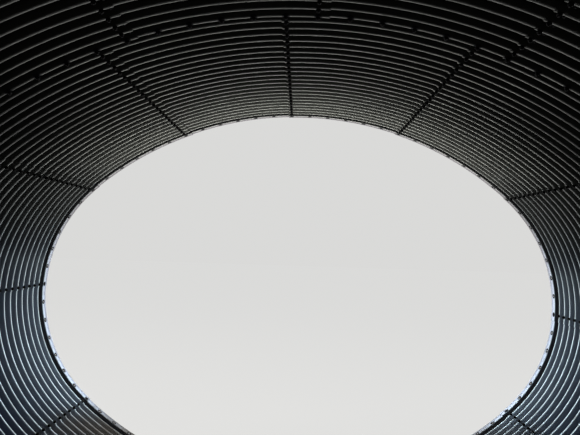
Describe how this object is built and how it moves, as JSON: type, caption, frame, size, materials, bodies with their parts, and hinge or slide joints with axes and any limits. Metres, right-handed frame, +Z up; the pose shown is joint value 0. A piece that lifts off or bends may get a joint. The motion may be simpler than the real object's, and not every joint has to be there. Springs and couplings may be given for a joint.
{
  "type": "corrugated steel culvert barrel",
  "caption": "Wide elliptical culvert barrel bolted up from curved corrugated steel plates, with lapped seams and a flat lip with open bolt holes at each open end.",
  "frame": {"origin": "middle of the barrel's length and width, on the floor that it rests on", "axes": "+Y along the barrel towards the open end in the picture, +X to the right when looking along +Y, +Z up"},
  "size_m": [6.9058, 11.1448, 5.0142],
  "materials": {
    "roof_sheet": "weathered galvanised steel, dull olive grey",
    "wall_sheet": "weathered galvanised steel, blue grey with dirt marks",
    "floor_sheet": "weathered galvanised steel, dull grey",
    "bolts": "dull galvanised hexagon bolts and nuts"
  },
  "bodies": {
    "root": {"ring1_floor_left": "floor_sheet", "ring1_floor_outer_left": "floor_sheet", "ring1_floor_outer_right": "floor_sheet", "ring1_floor_right": "floor_sheet", "ring1_roof_left": "roof_sheet", "ring1_roof_outer_left": "roof_sheet", "ring1_roof_outer_right": "roof_sheet", "ring1_roof_right": "roof_sheet", "ring1_wall_left_lower": "wall_sheet", "ring1_wall_left_upper": "wall_sheet", "ring1_wall_right_lower": "wall_sheet", "ring1_wall_right_upper": "wall_sheet", "ring2_floor_left": "floor_sheet", "ring2_floor_outer_left": "floor_sheet", "ring2_floor_outer_right": "floor_sheet", "ring2_floor_right": "floor_sheet", "ring2_roof_left": "roof_sheet", "ring2_roof_outer_left": "roof_sheet", "ring2_roof_outer_right": "roof_sheet", "ring2_roof_right": "roof_sheet", "ring2_wall_left_lower": "wall_sheet", "ring2_wall_left_upper": "wall_sheet", "ring2_wall_right_lower": "wall_sheet", "ring2_wall_right_upper": "wall_sheet", "ring3_floor_left": "floor_sheet", "ring3_floor_outer_left": "floor_sheet", "ring3_floor_outer_right": "floor_sheet", "ring3_floor_right": "floor_sheet", "ring3_roof_left": "roof_sheet", "ring3_roof_outer_left": "roof_sheet", "ring3_roof_outer_right": "roof_sheet", "ring3_roof_right": "roof_sheet", "ring3_wall_left_lower": "wall_sheet", "ring3_wall_left_upper": "wall_sheet", "ring3_wall_right_lower": "wall_sheet", "ring3_wall_right_upper": "wall_sheet"}
  },
  "joints": []
}
